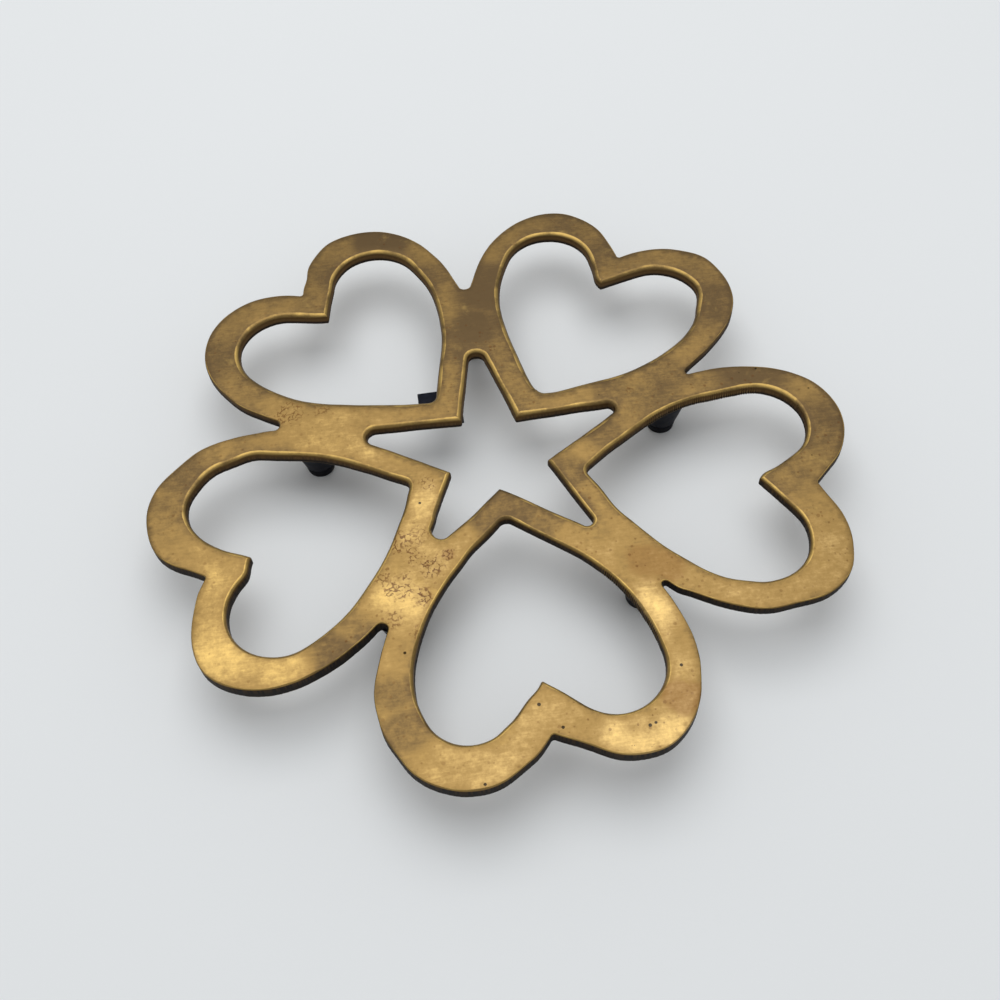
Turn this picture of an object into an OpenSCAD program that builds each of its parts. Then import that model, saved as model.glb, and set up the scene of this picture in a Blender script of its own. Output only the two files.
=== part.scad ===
// Footed openwork trivet: five heart rings cast in one piece around an open star,
// standing on five tapered feet with rubber tips, with a bare square plaque underneath.
// The origin is on the table, under the middle of the plate's outline. The front heart points to -Y.

/* [Heart] */
// Distance from the star's centre to the middle of a heart's round lobes, along the heart
lobe_out = 77.3; // [76.3:0.1:78.3]
// Distance of each lobe's middle from the heart's own centre line
lobe_side = 19.8; // [19.4:0.1:20.2]
// Radius of the opening's round lobes
lobe_r = 14.3; // [13.9:0.1:14.7]
// Radius of the long flank that runs from the lobe towards the tip
flank_r = 56; // [54:0.5:58]
// How far below the lobe's widest line the flank takes over, in degrees
flank_turn = 6.5; // [5:0.5:8]
// Distance from the star's centre to the opening's tip
tip_out = 26.2; // [25.4:0.1:27]
// Distance from the star's centre to the opening's notch between the lobes
notch_out = 78; // [77:0.1:79]

/* [Plate] */
// Width of the brass band around each heart opening
band_w = 9.6; // [9:0.1:10.2]
// Radius of the plate's outline around each lobe
rim_lobe_r = 23.5; // [23:0.1:24]
// Thickness of the plate
plate_h = 4; // [3.2:0.1:5]
// Height of the plate's top face above the table
overall_h = 20.5; // [18:0.5:26]
// Distance from the star's centre to the rounded notch where two hearts part
web_notch_out = 65.5; // [64.9:0.1:66.5]
// Distance from the star's centre to the sharp corner that each heart's tip makes in the star
star_corner_out = 14.9; // [14.3:0.1:15.5]
// Distance from the star's centre to the rounded end of each star point
star_tip_out = 39; // [38.4:0.1:39.6]

/* [Feet] */
// Distance from the star's centre to each foot
foot_out = 58; // [56:0.5:59]
// Diameter of the foot where it meets the plate
foot_top_d = 15.6; // [12:0.2:16]
// Diameter that the foot's taper would reach on the table
foot_end_d = 7.8; // [6.6:0.1:9]
// Diameter of the spigot on top of the foot
spigot_d = 6; // [5:0.5:8]
// Height of the spigot
spigot_h = 2.4; // [1.6:0.1:2.6]
// Clearance around and above the spigot in its blind socket
spigot_fit = 0.1; // [0.05:0.05:0.2]

/* [Rubber tips] */
// Height of the rubber tip below the foot
tip_h = 3.6; // [3:0.1:5]
// Diameter of the stem that plugs into the foot
stem_d = 4.2; // [3.5:0.1:4.6]
// Height of the stem
stem_h = 4.5; // [3:0.5:6]
// Clearance around and above the stem
stem_fit = 0.1; // [0.05:0.05:0.2]
// Chamfer around the rubber tip's standing face
tip_chamfer = 0.7; // [0.3:0.1:1]

/* [Plaque] */
// Side of the square plaque under the back left heart's tip
plaque_w = 13.4; // [12:0.2:14]
// Thickness of the plaque
plaque_h = 1; // [0.6:0.1:1.5]
// Distance of the plaque's middle to the left of the star's centre
plaque_left = 14.6; // [13.8:0.1:15.4]
// Distance of the plaque's middle behind the star's centre
plaque_back = 22.4; // [21.4:0.1:23.4]

/* [Hidden] */
$fn = 96;

// The ring: hearts counter-clockwise from the front one, and a web after each
heart_count = 5;
hearts = [0:heart_count - 1];
heart_step = 360 / heart_count;
front_angle = -90;

// The casting's hand-made irregularity, heart by heart: turn about the star's centre
// and lean about the heart's own middle in degrees, and reach as a share of the band
heart_turns = [0.7, 0, -0.5, 0.3, -0.4];
heart_leans = [1.8, 4.5, 2.6, 0.4, 2.7];
reach_shares = [-0.27, 0.16, -0.1, 0.15, 0.06];
// How far each heart's lobes are swung outwards along their flanks, in degrees, the left lobe
// first as seen from the star: in the opening, and in the plate's outline around it
opening_swings = [[0.8, 1.6], [0.3, -0.7], [0.1, 0], [-0.3, -0.5], [1.1, -2.5]];
rim_swings = [[4.9, 6.8], [3.6, 3.6], [1.7, 2.2], [3.2, 2.5], [4.1, 1.6]];
// How much further out than an even band each outer notch lies, where each star corner lies
// across and along its heart from its even place, and how much further out than the others
// each star point ends, as shares of the band
notch_shares = [0.34, 0.31, -0.05, 0, 0.11];
corner_shares = [[-0.03, 0.1], [-0.3, -0.07], [-0.29, 0.03], [0.04, -0.05], [-0.27, -0.03]];
point_shares = [-0.1, 0.2, 0.15, 0.11, -0.36];
// How far each foot is turned from its web's middle, in degrees
foot_turns = [2.5, -1.5, 0, 0, 0];

// The tightest corner that the sand mould gives, and one overrun for every cut
least_corner_r = band_w / 40;
overrun = plate_h / 4;
// How far each arc of the outline runs into the next one, so that they cross
seam = band_w / 2000;
// How far a wedge or a web reaches into the shape that carries it on
overlap = band_w / 4;
overlap_turn = 3;
// A length longer than any part of the heart, for wedges
far = 3 * lobe_out;

// The right half of an even opening's outline, with the heart along +Y: straight from the tip,
// round the flank and the lobe, and straight to the notch
lobe = [lobe_side, lobe_out];
flank = lobe - (flank_r - lobe_r + seam) * direction(-flank_turn);
notch_half = -tangent_turn([-lobe.x, lobe.y - notch_out], lobe_r - seam);
heart_middle = (tip_out + lobe_out + lobe_r) / 2;

// Heights and the foot's taper
plate_bottom = overall_h - plate_h;
function foot_r(z) = (foot_end_d + (foot_top_d - foot_end_d) * z / plate_bottom) / 2;

function direction(a) = [cos(a), sin(a)];
// The angle from +Y of the line from the zero point that just touches a disc, or of the line
// square to the disc's radius where the zero point lies inside it
function tangent_turn(middle, r) = atan2(middle.x, middle.y) + asin(min(1, r / norm(middle)));
function turned(p, a) = [p.x * cos(a) - p.y * sin(a), p.x * sin(a) + p.y * cos(a)];
function heart_angle(i) = front_angle + i * heart_step + heart_turns[i];
function web_angle(i) = front_angle + (i + 0.5) * heart_step;
function reach(i) = reach_shares[i] * band_w;
// Where a point of the upright heart lands once heart i is leant, moved out and turned
function placed(i, p) = turned(turned(p - [0, heart_middle], heart_leans[i])
    + [0, heart_middle + reach(i)], heart_angle(i) - 90);

// The middle of a lobe that touches its flank's rim from inside and is swung along it
function swung(gap, swing) = flank + (gap + seam) * direction(swing - flank_turn);
function mirrored(p) = [-p.x, p.y];

// The plate's outline reaches furthest on its lobes, which centres it over the origin
rim_gap = flank_r + band_w - rim_lobe_r;
lobe_places = [for (i = hearts) for (p = [mirrored(swung(rim_gap, rim_swings[i][0])),
    swung(rim_gap, rim_swings[i][1])]) placed(i, p)];
function furthest(way) = max([for (p = lobe_places) p * way]);
star_centre = [furthest([-1, 0]) - furthest([1, 0]), furthest([0, -1]) - furthest([0, 1])] / 2;

// The radius of a round corner that touches two equal rims, whose centres are 2 * half apart,
// and ends at the given depth from the middle between them
function corner_r(half, rim, depth) =
    max(least_corner_r, (pow(depth, 2) + pow(half, 2) - pow(rim, 2)) / (2 * (rim - depth)));

// The stretch of a disc between two angles, from its rim inwards to the chord at radius inner
module sector(r, inner, from, to) {
    intersection() {
        circle(r = r, $fn = 3 * $fn);
        polygon([inner * direction(from), far * direction(from),
            far * direction(to), inner * direction(to)]);
    }
}

function star_corner(i) = [0, star_corner_out] + band_w * corner_shares[i];
function rim_notch(i) = [0, notch_out + (1 / sin(notch_half) + notch_shares[i]) * band_w];
// How far round its flank a heart's straight tip edge reaches, in degrees
function tip_half(tip, flank_rim) = tangent_turn(flank - tip, flank_rim - seam);
// Half of a heart's core: the end of its flank, inside its lobe, and the end of its lobe
function core_half(flank_rim, lobe_rim, middle, tip, notch) = [
    flank + (flank_rim - seam) * direction(-tip_half(tip, flank_rim)),
    middle + [0, lobe_r / 2],
    middle + (lobe_rim - seam)
        * direction(180 + tangent_turn([-middle.x, middle.y - notch.y], lobe_rim - seam))];

// The outline of an upright heart that lies a band further out than an opening's flanks,
// with its own lobes, tip and notch
module heart(band, lobe_rim, swings, tip, notch) {
    flank_rim = flank_r + band;
    inner = flank_r - lobe_r;
    tips = [mirrored(tip), tip];
    middles = [for (swing = swings) swung(flank_rim - lobe_rim, swing)];
    halves = [for (k = [0, 1]) core_half(flank_rim, lobe_rim, middles[k], tips[k], notch)];
    ends = [for (end = tips) tip_half(end, flank_rim) + overlap_turn];
    polygon(concat([tip], halves[1], [notch], [for (k = [2, 1, 0]) mirrored(halves[0][k])]));
    translate(flank)
        sector(flank_rim, inner, -ends[1], swings[1] - flank_turn);
    translate(mirrored(flank))
        sector(flank_rim, inner, 180 + flank_turn - swings[0], 180 + ends[0]);
    translate(middles[1])
        circle(r = lobe_rim);
    translate(mirrored(middles[0]))
        circle(r = lobe_rim);
}

module place_heart(i) {
    rotate(heart_angle(i) - 90)
        translate([0, heart_middle + reach(i)])
            rotate(heart_leans[i])
                translate([0, -heart_middle])
                    children();
}

// The solid web between heart i and the next one, rounded where their flanks part:
// outwards and towards the star
module web(i) {
    rim = flank_r + band_w - seam;
    c1 = placed(i, mirrored(flank));
    c2 = placed((i + 1) % heart_count, flank);
    middle = (c1 + c2) / 2;
    half = norm(c2 - c1) / 2;
    side_way = (c2 - c1) / (2 * half);
    out_way = turned(side_way, -90);
    notch_r = corner_r(half, rim, web_notch_out - norm(middle));
    point_r = corner_r(half, rim, norm(middle) - star_tip_out - point_shares[i] * band_w);
    notch_end = sqrt(pow(rim + notch_r, 2) - pow(half, 2));
    point_end = -sqrt(pow(rim + point_r, 2) - pow(half, 2));
    // The web's edges cross at the places where the corners touch the two flanks
    notch_share = rim / (rim + notch_r);
    point_share = rim / (rim + point_r);
    notch_side = half * (1 - notch_share) + overlap;
    point_side = half * (1 - point_share) + overlap;
    difference() {
        polygon([middle + point_end * point_share * out_way - point_side * side_way,
            middle + notch_end * notch_share * out_way - notch_side * side_way,
            middle + notch_end * notch_share * out_way + notch_side * side_way,
            middle + point_end * point_share * out_way + point_side * side_way]);
        translate(middle + notch_end * out_way)
            circle(r = notch_r);
        translate(middle + point_end * out_way)
            circle(r = point_r);
    }
}

module plate_outline() {
    difference() {
        union() {
            for (i = hearts) {
                place_heart(i)
                    heart(band_w, rim_lobe_r, rim_swings[i], star_corner(i), rim_notch(i));
                web(i);
            }
        }
        for (i = hearts)
            place_heart(i)
                heart(0, lobe_r, opening_swings[i], [0, tip_out], [0, notch_out]);
    }
}

module at_web(i) {
    translate(star_centre)
        rotate(web_angle(i) + foot_turns[i])
            translate([foot_out, 0])
                children();
}

module heart_star_plate() {
    color("goldenrod")
        difference() {
            translate([star_centre.x, star_centre.y, plate_bottom])
                linear_extrude(plate_h)
                    plate_outline();
            for (i = hearts)
                at_web(i)
                    translate([0, 0, plate_bottom - overrun])
                        cylinder(d = spigot_d + 2 * spigot_fit, h = overrun + spigot_h + spigot_fit);
        }
}

module foot(i) {
    color("#23262b")
        at_web(i)
            rotate_extrude()
                polygon([
                    [0, tip_h + stem_h + stem_fit],
                    [stem_d / 2 + stem_fit, tip_h + stem_h + stem_fit],
                    [stem_d / 2 + stem_fit, tip_h],
                    [foot_r(tip_h), tip_h],
                    [foot_r(plate_bottom), plate_bottom],
                    [spigot_d / 2, plate_bottom],
                    [spigot_d / 2, plate_bottom + spigot_h],
                    [0, plate_bottom + spigot_h]]);
}

module rubber_tip(i) {
    color("#141416")
        at_web(i)
            rotate_extrude()
                polygon([
                    [0, 0],
                    [foot_r(0) - tip_chamfer, 0],
                    [foot_r(tip_chamfer), tip_chamfer],
                    [foot_r(tip_h), tip_h],
                    [stem_d / 2, tip_h],
                    [stem_d / 2, tip_h + stem_h],
                    [0, tip_h + stem_h]]);
}

module underside_plaque() {
    color("#2b3036")
        translate([star_centre.x - plaque_left - plaque_w / 2,
            star_centre.y + plaque_back - plaque_w / 2,
            plate_bottom - plaque_h])
            cube([plaque_w, plaque_w, plaque_h]);
}

heart_star_plate();
foot(0);  // foot_front_right
foot(1);  // foot_right
foot(2);  // foot_back
foot(3);  // foot_left
foot(4);  // foot_front_left
rubber_tip(0);  // tip_front_right
rubber_tip(1);  // tip_right
rubber_tip(2);  // tip_back
rubber_tip(3);  // tip_left
rubber_tip(4);  // tip_front_left
underside_plaque();
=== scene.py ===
"""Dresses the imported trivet: a cast brass plate of five hearts around a star, on black feet.

Everything is in metres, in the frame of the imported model: +Z up, the table at zero.
"""

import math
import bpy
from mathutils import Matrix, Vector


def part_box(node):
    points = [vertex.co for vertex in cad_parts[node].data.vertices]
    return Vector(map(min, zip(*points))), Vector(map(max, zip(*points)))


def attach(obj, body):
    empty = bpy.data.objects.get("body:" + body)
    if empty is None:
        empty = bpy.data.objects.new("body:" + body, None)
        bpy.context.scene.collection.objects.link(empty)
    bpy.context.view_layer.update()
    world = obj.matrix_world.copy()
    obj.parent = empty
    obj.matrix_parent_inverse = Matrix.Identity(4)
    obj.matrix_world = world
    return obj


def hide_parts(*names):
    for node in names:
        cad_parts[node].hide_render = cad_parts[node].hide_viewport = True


bl_info = {
    "name": "Heart and Star Trivet",
    "version": (1, 0, 0),
    "blender": (4, 5, 0),
    "location": "3D View > Sidebar > Trivet",
    "description": "Builds the looks of a footed brass trivet around its packed solids",
    "category": "Object",
}

import bmesh
import bpy
import numpy as np
from mathutils import Quaternion, Vector, geometry, noise

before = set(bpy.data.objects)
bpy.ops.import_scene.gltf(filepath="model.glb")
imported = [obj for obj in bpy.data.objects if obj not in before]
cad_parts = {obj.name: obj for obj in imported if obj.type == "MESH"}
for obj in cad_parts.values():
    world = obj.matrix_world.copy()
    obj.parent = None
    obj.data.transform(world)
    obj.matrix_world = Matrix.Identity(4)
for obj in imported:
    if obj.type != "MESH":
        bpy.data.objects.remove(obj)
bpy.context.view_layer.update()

MM = 0.001
PLATE = "heart_star_plate"
PLAQUE = "underside_plaque"
FEET = sorted(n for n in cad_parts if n.startswith("foot_"))
TIPS = sorted(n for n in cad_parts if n.startswith("tip_"))
PLATE_LOW, PLATE_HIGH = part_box(PLATE)

# Points closer than this are one point
MERGE = 0.02 * MM

# A face is level where its normal is this close to upright
LEVEL = 0.99


def length_setting(name, description, default):
    return bpy.props.FloatProperty(
        name=name, description=description, default=default, unit="LENGTH")


def turn_setting(name, description, degrees):
    return bpy.props.FloatProperty(
        name=name, description=description, default=math.radians(degrees), unit="ROTATION")


def plain_setting(name, description, default):
    return bpy.props.FloatProperty(name=name, description=description, default=default, min=0)


def place_setting(name, description, default):
    return bpy.props.FloatVectorProperty(
        name=name, description=description, default=default, size=3, subtype="TRANSLATION",
        unit="LENGTH")


def colour_setting(name, description, default):
    """A colour in linear light."""
    return bpy.props.FloatVectorProperty(
        name=name, description=description, default=default, size=3, subtype="COLOR", min=0, max=1)


class TrivetPlateSettings(bpy.types.PropertyGroup):
    """The cast and filed plate."""

    step: length_setting("Outline step", "Distance between points along the outlines", 0.36 * MM)
    inset: length_setting(
        "Filed inset", "How far the walls stand inside the solid's outline", 0.15 * MM)
    rim_round: length_setting("Rim edge", "Radius of the top edge around the outside", 0.45 * MM)
    opening_round: length_setting(
        "Opening edge", "Radius of the top edge around the openings", 1.4 * MM)
    bottom_round: length_setting(
        "Bottom edge", "Radius of the edge around the underside", 0.8 * MM)
    corner_round: length_setting("Corner", "Radius of the corners, seen from above", 0.7 * MM)
    tip_cut: length_setting(
        "Opening tip", "How far from its point an opening's pointed end starts to round", 2.0 * MM)
    front_extra: length_setting(
        "Front thickness", "How much thicker the casting is at the front left", 1.5 * MM)
    file_depth: length_setting("File marks", "Depth of the file's marks down the walls", 0.06 * MM)
    teeth_depth: length_setting(
        "Chatter", "Depth of the cutter's chatter on parts of the inner walls", 0.32 * MM)
    wander: length_setting("Wander", "How far the hand-cut outline strays sideways", 0.14 * MM)
    swell: length_setting("Swell", "Depth of the top face's soft unevenness", 0.08 * MM)


class TrivetFeetSettings(bpy.types.PropertyGroup):
    """The feet, their tips and the plaque."""

    foot_edge: length_setting("Foot edge", "Radius of a foot's edges", 0.4 * MM)
    tip_edge: length_setting("Tip edge", "Radius around a tip's standing face", 0.7 * MM)
    tip_taper: plain_setting("Tip taper", "Standing face of a tip, as a share of its rim", 0.9)
    plaque_edge: length_setting("Plaque edge", "Radius of the plaque's edges", 0.25 * MM)


class TrivetFinishSettings(bpy.types.PropertyGroup):
    """The colours."""

    # Also paints highlights: the bright line along the edges and the highlit bright patches
    bright: colour_setting(
        "Polished brass", "Brass where it is rubbed bright", (0.565, 0.375, 0.112))
    worn: colour_setting("Aged brass", "Brass under an even patina", (0.241, 0.151, 0.051))
    olive: colour_setting(
        "Olive patina", "The deepest patina on the top face", (0.107, 0.069, 0.032))
    # On the turned edges this also paints shade where the edge turns down
    bronze: colour_setting(
        "Brown bronze", "The turned edges, the file marks' ridges and the underside",
        (0.105, 0.058, 0.02))
    oxide: colour_setting("Dark oxide", "The dark filed walls", (0.006, 0.004, 0.003))
    stain: colour_setting(
        "Red-brown stain", "Spots, stains and crazed patches", (0.13, 0.052, 0.016))
    foot: colour_setting("Black paint", "The feet", (0.003, 0.0035, 0.007))
    rubber: colour_setting("Rubber", "The tips", (0.003, 0.003, 0.005))
    plaque: colour_setting("Plaque", "The plaque underneath", (0.004, 0.005, 0.010))


class TrivetStageSettings(bpy.types.PropertyGroup):
    """The floor, the lamp and the camera."""

    floor_size: length_setting("Floor", "Side of the floor", 8.0)
    floor_colour: colour_setting("Floor colour", "Pale paper", (0.80, 0.815, 0.82))
    lamp_place: place_setting("Lamp", "Middle of the soft lamp overhead", (0.0, 0.45, 1.4))
    lamp_size: length_setting("Lamp size", "Side of the soft lamp overhead", 1.5)
    lamp_power: plain_setting("Lamp power", "Power of the soft lamp, in watts", 12.5)
    air: plain_setting("Air", "Strength of the even light from all around", 0.62)
    air_colour: colour_setting("Air colour", "Colour of the even light", (0.86, 0.88, 0.90))
    camera_distance: length_setting(
        "Camera distance", "From the lens to the point it looks at", 0.345997)
    camera_turn: turn_setting(
        "Camera azimuth", "How far the camera stands to the left of the front", 4.679)
    camera_rise: turn_setting("Camera elevation", "Angle of the view down onto the table", 56.89)
    camera_roll: turn_setting("Camera roll", "Turn of the picture about the line of sight", -4.107)
    focal_share: plain_setting(
        "Focal length", "Focal length as a share of the picture's width", 1.17564)
    aim: place_setting(
        "Aim", "The point on the top face that the camera looks at",
        (-1.486 * MM, -15.994 * MM, 20.5 * MM))


def deselect_all():
    if bpy.context.object and bpy.context.object.mode != "OBJECT":
        bpy.ops.object.mode_set(mode="OBJECT")
    bpy.ops.object.select_all(action="DESELECT")


def make_active(piece):
    deselect_all()
    piece.select_set(True)
    bpy.context.view_layer.objects.active = piece


def finish_piece(piece, name, node, material, sharp_degrees=40.0):
    """Names and shades a piece, puts its place into its mesh and ties it to the frame."""
    make_active(piece)
    piece.name = name
    piece.data.name = name
    bpy.ops.object.transform_apply(location=True, rotation=True, scale=True)
    bpy.ops.object.shade_smooth_by_angle(angle=math.radians(sharp_degrees))
    piece.data.materials.clear()
    piece.data.materials.append(material)
    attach(piece, "root")
    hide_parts(node)
    return piece


# The plate's outlines, in plan

# For the points' spacing, the file marks and the plate's noise
SEED = 5

# Beside a neighbour this much shorter, a side of the solid's outline is straight
STRAIGHT_RATIO = 3.0
# A turn sharper than this is a corner, and points stand this much closer around it
CORNER_TURN = math.radians(45)
CORNER_STEP = 0.8
# Points of a fine line on each side of the solid's outline
FINE_STEPS = 16
# Evenly spaced points at each end of a stretch, and how unevenly the others are spaced
EVEN_STEPS = 10
UNEVEN = 0.3

# Angles around the rounded top edge, from the top face to the wall, and around the bottom edge
TOP_ANGLES = (0, 18, 36, 54, 72, 90)
BOTTOM_ANGLES = (45, 90)

# The plate's attributes: how far over the edge and down the wall (0 top, 1 wall, 2 underside),
# how deep a file mark, and how near the edge
PLATE_LAYERS = ("wall", "file_mark", "rim")
WALL_FOOT, UNDERSIDE = 1.8, 2.0

# From the front hearts to the back ones, the openings' edges grow rounder
FRONT, BACK = -40 * MM, 20 * MM

# The casting grows thicker towards this side, between these two distances from the middle
THICK_WAY = (-0.35, -0.94)
THICK_STARTS, THICK_FULL = 30 * MM, 76 * MM

# The lengths of the waves in the edges' radius, in the outlines and in the top face
EDGE_WAVE = 14 * MM
WANDER_WAVES = (17 * MM, 6 * MM)
SWELL_WAVES = (24 * MM, 8 * MM)

# The nets that fill the top face and the underside, how close two points of a net may lie, and
# how many points are tested at once
TOP_NET, UNDER_NET = 1.7 * MM, 5.0 * MM
NET_NEAR = 0.0001 * MM
AT_ONCE = 400

# Where the cutter chattered along the openings' walls: place in mm, and reach in mm
TEETH = (
    ((50, 6), 5), ((57, 11), 6), ((64, 14), 6), ((72, 12.5), 6), ((80, 10), 5), ((26, -46), 5),
    ((31, -54), 7), ((35, -63), 6), ((-66, 3), 6), ((-76, 2), 6))

# How much of the way to where a corner's two sides meet the rounded edges may take
REACH_SHARE = 0.88

# A stray moves only the outlines that pass this near to its place, in mm
STRAY_NEAR = 4

# Where the hand-filed outlines stray: place and reach in mm, then how far the metal grows there
RIM_STRAYS = (
    ((12, 93), 18, -1.5), ((-64, 25), 18, 1.4), ((91, 20), 18, -1.2), ((-45, 98), 9, 0.8),
    ((-2, 67), 8, 1.5), ((-97, 14), 12, -1.3), ((-64, 78), 18, -0.9), ((-93, -39), 12, -1.1),
    ((-101, -18), 12, 1.1), ((60, 77), 18, -0.8), ((-87, -59), 12, 1.0), ((76, -65), 12, -1.0),
    ((45, -80), 12, -1.0), ((-17, 97), 18, -0.8), ((62, 23), 5, 1.2), ((43, -52), 5, 1.2),
    ((11, -96), 12, -0.9), ((32, -97), 12, 0.9), ((-63, 22), 8, 1.5), ((-42, -71), 12, 1.2),
    ((74, -65), 12, -0.9), ((-76, 33), 12, 0.9), ((36, 98), 12, 0.8), ((-102, 9), 18, -0.7),
    ((-64, -66), 18, -0.7), ((92, -55), 8, 0.6), ((0, 68), 5, 0.9), ((-7, -99), 8, -0.8),
    ((-40, -90), 8, -0.7), ((-55, 84), 5, -0.8), ((80, 69), 8, 0.7), ((51, 83), 8, -0.6),
    ((10, -96), 8, -0.6))
OPENING_STRAYS = (
    ((-45, 27), 18, 1.2), ((74, 47), 12, 1.3), ((-27, -6), 18, 0.9), ((49, 7), 18, 0.4),
    ((1, 40), 18, 0.9), ((-74, 11), 8, -1.3), ((78, -20), 5, 1.2), ((57, -50), 12, -1.1),
    ((44, 67), 5, 1.2), ((33, -3), 12, -0.5), ((-41, -37), 18, 0.9), ((-23, -24), 8, 1.0),
    ((-78, -28), 5, 1.2), ((70, 12), 12, 0.8), ((0, -76), 5, -1.0), ((33, -23), 8, -0.9),
    ((3, -14), 12, 0.6), ((-51, 66), 8, 0.8), ((-23, -22), 5, 0.8), ((10, 48), 18, 1.0),
    ((-32, -79), 12, 1.2), ((39, 13), 8, 1.3), ((43, 71), 12, 0.9), ((-23, -22), 8, 0.9),
    ((-22, 2), 18, 0.5), ((16, 21), 5, 1.0), ((-83, -18), 8, -0.8), ((83, -17), 12, 0.6),
    ((75, 49), 8, 0.7), ((-30, -14), 8, -0.5), ((-11, -32), 8, -0.6), ((-91, 5), 8, 0.6),
    ((59, 67), 12, -0.5), ((-10, -86), 5, 0.6), ((11, -83), 12, 0.4), ((-76, 48), 12, 0.6),
    ((-14, 73), 12, -0.5), ((-45, 80), 12, 0.5))


def top_outlines(node):
    """The outlines of a node's top face, each as plan points with the metal on its left."""
    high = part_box(node)[1]
    mesh = bmesh.new()
    mesh.from_mesh(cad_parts[node].data)
    bmesh.ops.remove_doubles(mesh, verts=mesh.verts, dist=0.001 * MM)
    mesh.normal_update()
    # Dictionaries keep their order, so that every run draws its random values alike
    top = dict.fromkeys(f for f in mesh.faces if f.normal.z > LEVEL
                        and f.calc_center_median().z > high.z - MERGE)
    following = {}
    for face in top:
        for corner in face.loops:
            if not any(f in top for f in corner.edge.link_faces if f is not face):
                following[corner.vert] = corner.link_loop_next.vert
    outlines = []
    while following:
        vert = next(iter(following))
        points = []
        while vert in following:
            points.append((vert.co.x, vert.co.y))
            vert = following.pop(vert)
        outlines.append(np.array(points))
    mesh.free()
    return outlines


def unit(v):
    return v / np.linalg.norm(v, axis=-1, keepdims=True)


def left_of(v):
    return np.stack([-v[..., 1], v[..., 0]], axis=-1)


def turn_between(a, b):
    return np.arctan2(a[..., 0] * b[..., 1] - a[..., 1] * b[..., 0], (a * b).sum(-1))


def smooth_stretch(points):
    """A fine line through points that lie on arcs and straight lines without a corner."""
    chords = np.diff(points, axis=0)
    lengths = np.linalg.norm(chords, axis=1)
    ways = unit(chords)
    tangents = np.empty_like(points)
    for i in range(1, len(points) - 1):
        before, after = lengths[i - 1], lengths[i]
        if before > STRAIGHT_RATIO * after:
            tangents[i] = ways[i - 1]
        elif after > STRAIGHT_RATIO * before:
            tangents[i] = ways[i]
        else:
            tangents[i] = unit(after * ways[i - 1] + before * ways[i])
    if len(points) == 2:
        tangents[:] = ways[0]
    else:
        tangents[0] = 2 * (tangents[1] @ ways[0]) * ways[0] - tangents[1]
        tangents[-1] = 2 * (tangents[-2] @ ways[-1]) * ways[-1] - tangents[-2]
    share = (np.arange(FINE_STEPS) / FINE_STEPS)[:, None]
    line = []
    for i, length in enumerate(lengths):
        a, b = points[i], points[i + 1]
        ta, tb = tangents[i] * length, tangents[i + 1] * length
        line.append((2 * share**3 - 3 * share**2 + 1) * a + (share**3 - 2 * share**2 + share) * ta
                    + (3 * share**2 - 2 * share**3) * b + (share**3 - share**2) * tb)
    return np.vstack(line + [points[-1:]])


def stations(length, step, random):
    """Distances along a stretch: even near both ends, and spaced as by hand between."""
    ends = step * np.arange(EVEN_STEPS + 1)
    middle = length - 2 * ends[-1]
    if middle < 2 * step:
        return np.linspace(0, length, max(2, round(length / step)) + 1)
    count = max(2, round(middle / step))
    gaps = 1 + random.uniform(-UNEVEN, UNEVEN, count)
    inner = ends[-1] + middle * np.cumsum(gaps)[:-1] / gaps.sum()
    return np.concatenate([ends, inner, length - ends[::-1]])


def ease(value, low, high):
    """A smooth step from 0 to 1 as the value goes from low to high."""
    share = np.clip((value - low) / (high - low), 0, 1)
    return share * share * (3 - 2 * share)


def stray(place, inward, rim):
    """A smooth sideways push of an outline at each of its points, in metres."""
    push = np.zeros_like(place)
    for spot, reach, amount in RIM_STRAYS if rim else OPENING_STRAYS:
        away = np.linalg.norm(place / MM - spot, axis=1)
        if away.min() < STRAY_NEAR:
            strength = np.exp(-2 * (away / reach) ** 2)[:, None]
            push -= amount * MM * strength * unit((strength * inward).sum(axis=0))
    return push


def chatter(place):
    """How strongly the cutter chattered at each place, from 0 to 1."""
    strength = np.zeros(len(place))
    for spot, reach in TEETH:
        away = np.linalg.norm(place / MM - spot, axis=1) / reach
        strength = np.maximum(strength, np.clip(2 - 2 * away, 0, 1))
    return strength


def lengths_along(line):
    return np.concatenate([[0], np.cumsum(np.linalg.norm(np.diff(line, axis=0), axis=1))])


def headings(line):
    return unit(np.gradient(line, lengths_along(line), axis=0))


def smooth_lines(outline, rim):
    """The outline as fine lines from corner to corner, strayed as the hand-filed one does."""
    ways = unit(np.roll(outline, -1, axis=0) - outline)
    corners = np.flatnonzero(abs(turn_between(np.roll(ways, 1, axis=0), ways)) > CORNER_TURN)
    if len(corners) < 2:
        raise ValueError("an outline of the plate has lost its corners")
    lines = []
    for start, end in zip(corners, np.roll(corners, -1)):
        count = (end - start) % len(outline) or len(outline)
        stretch = np.take(outline, range(start, start + count + 1), axis=0, mode="wrap")
        lines.append(smooth_stretch(stretch))
    place = np.vstack(lines)
    place = place + stray(place, left_of(np.vstack([headings(line) for line in lines])), rim)
    place = np.clip(place, PLATE_LOW[:2], PLATE_HIGH[:2])
    return np.split(place, np.cumsum([len(line) for line in lines])[:-1])


def reach_inwards(place, inward):
    """How far each point's way into the metal may go before the sides of a corner meet."""
    reach = np.empty(len(place))
    for i, (point, way) in enumerate(zip(place, inward)):
        apart = place - point
        ahead = apart @ way
        facing = ahead > 0.1 * MERGE
        reach[i] = np.min((apart[facing] ** 2).sum(axis=1) / (2 * ahead[facing]), initial=math.inf)
    return REACH_SHARE * reach


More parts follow.
